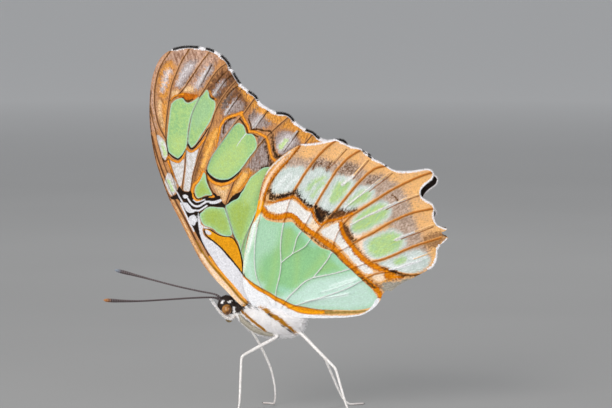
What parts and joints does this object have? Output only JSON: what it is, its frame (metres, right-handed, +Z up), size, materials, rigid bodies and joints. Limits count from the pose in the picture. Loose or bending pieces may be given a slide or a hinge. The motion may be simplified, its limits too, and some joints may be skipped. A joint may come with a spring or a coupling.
{
  "type": "malachite butterfly",
  "caption": "Life-size still model of a resting malachite butterfly, wings closed upright, green and brown undersides, standing on four legs.",
  "frame": {"origin": "on the floor, under the middle of the part's bounding box", "axes": "+Z up, head towards -X, the animal's left side towards -Y, the closed wings in the XZ plane"},
  "size_m": [0.0608, 0.0174, 0.0653],
  "materials": {
    "wing": "matte wing scales: pale green fields, orange-brown bands, white lines and black-brown edges",
    "body_hair": "short dense white hair and scales with orange stripes along the thorax",
    "eye": "smooth amber-brown compound eye",
    "feeler": "dark ringed cuticle, clubs paler at the tips",
    "leg": "pale lavender-grey scaled cuticle"
  },
  "bodies": {
    "root": {"head": "body_hair", "thorax": "body_hair", "abdomen": "body_hair", "eye_left": "eye", "eye_right": "eye", "palp_left": "body_hair", "palp_right": "body_hair", "proboscis": "feeler", "antenna_left": "feeler", "antenna_right": "feeler", "foreleg_left": "body_hair", "foreleg_right": "body_hair", "midleg_left": "leg", "midleg_right": "leg", "hindleg_left": "leg", "hindleg_right": "leg", "forewing_left": "wing", "forewing_right": "wing", "hindwing_left": "wing", "hindwing_right": "wing"}
  },
  "joints": []
}
